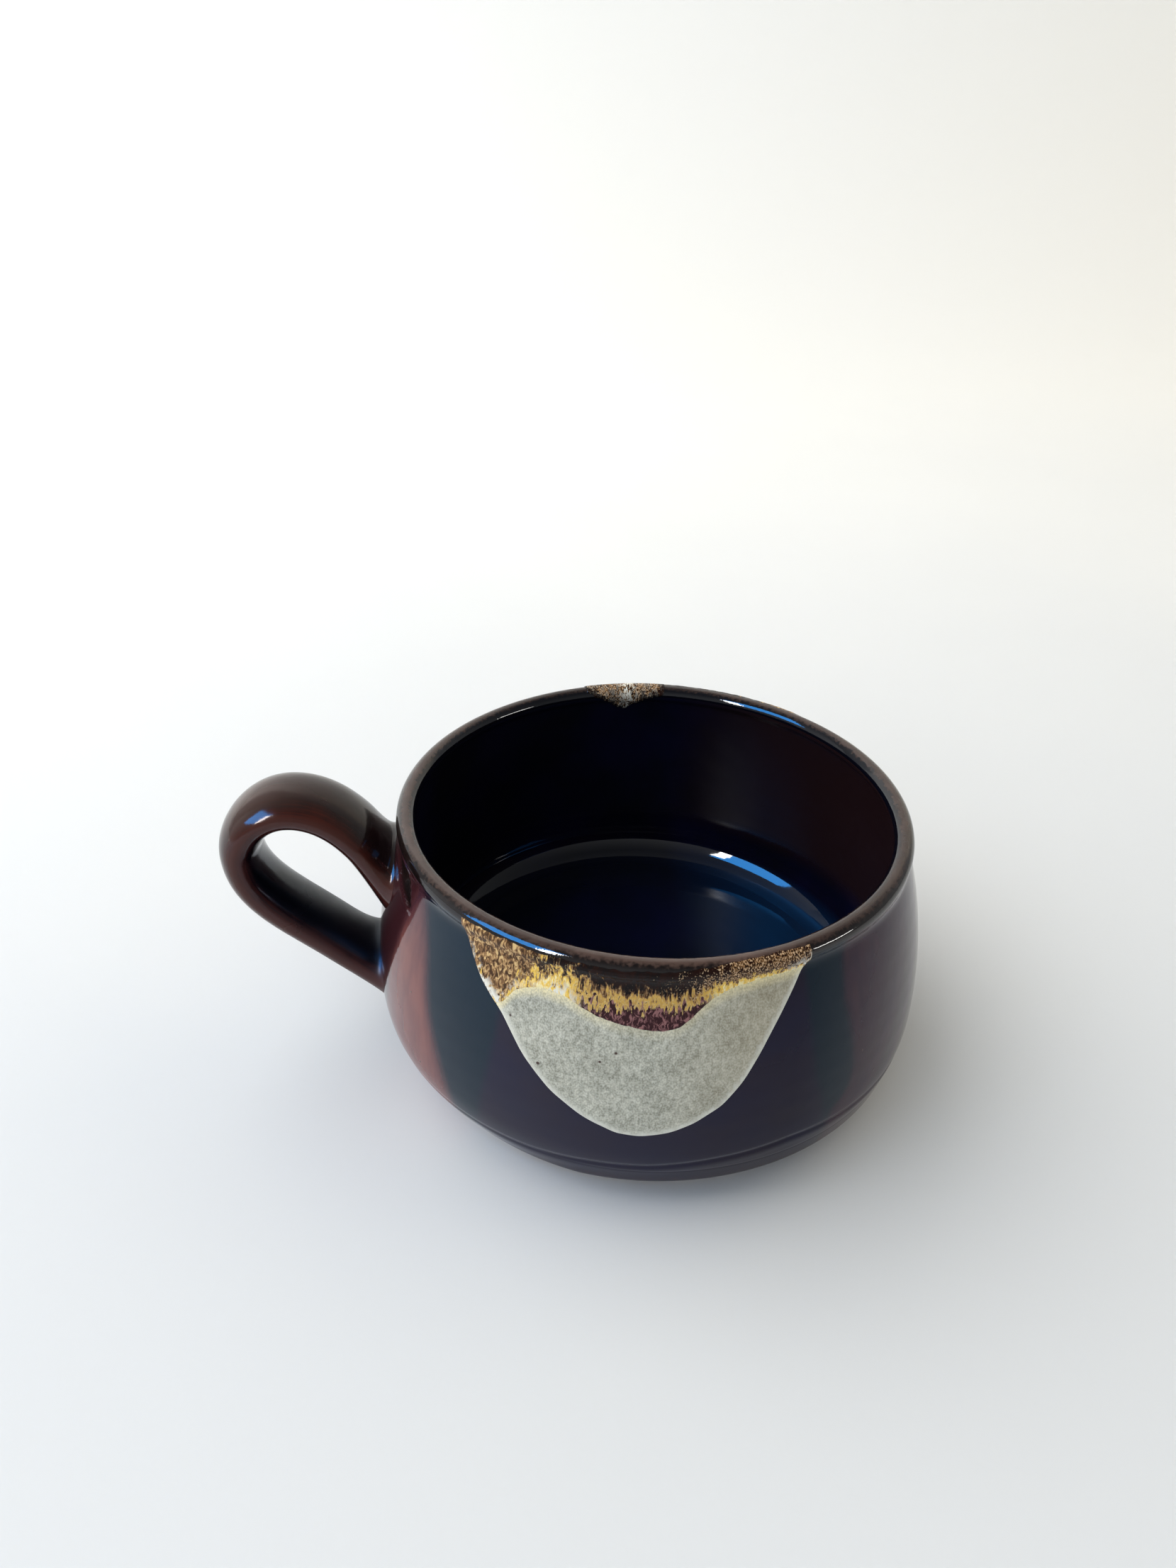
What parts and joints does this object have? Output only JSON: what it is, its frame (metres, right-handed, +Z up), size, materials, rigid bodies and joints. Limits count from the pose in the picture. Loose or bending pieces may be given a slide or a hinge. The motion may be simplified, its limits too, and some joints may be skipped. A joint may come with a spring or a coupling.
{
  "type": "soup mug",
  "caption": "Wide, low stoneware soup mug with a rounded rim, swelling belly, turned foot, pulled strap handle and dark glaze with pale half-moon dips.",
  "frame": {"origin": "centre of the foot on the table", "axes": "+Z up out of the mug, the handle points to -X, the front half-moon faces -Y"},
  "size_m": [0.1585, 0.126, 0.0677],
  "materials": {
    "clay": "matte fired stoneware",
    "joining_clay": "matte fired stoneware",
    "dark_glaze": "glossy black-brown",
    "rim_glaze": "glossy brown where it breaks over the rim",
    "liner_glaze": "glossy black",
    "handle_glaze": "glossy dark brown, reddish where thin",
    "pale_glaze": "satin grey-white with fine speckle",
    "run_glaze": "glossy golden brown run"
  },
  "bodies": {
    "root": {"thrown_bowl": "clay", "handle": "clay", "upper_joint": "joining_clay", "lower_joint": "joining_clay", "outer_glaze": "dark_glaze", "rim_glaze": "rim_glaze", "liner_glaze": "liner_glaze", "handle_glaze": "handle_glaze", "front_pale_glaze": "pale_glaze", "front_rim_run": "run_glaze", "back_pale_glaze": "pale_glaze", "back_rim_run": "run_glaze"}
  },
  "joints": []
}
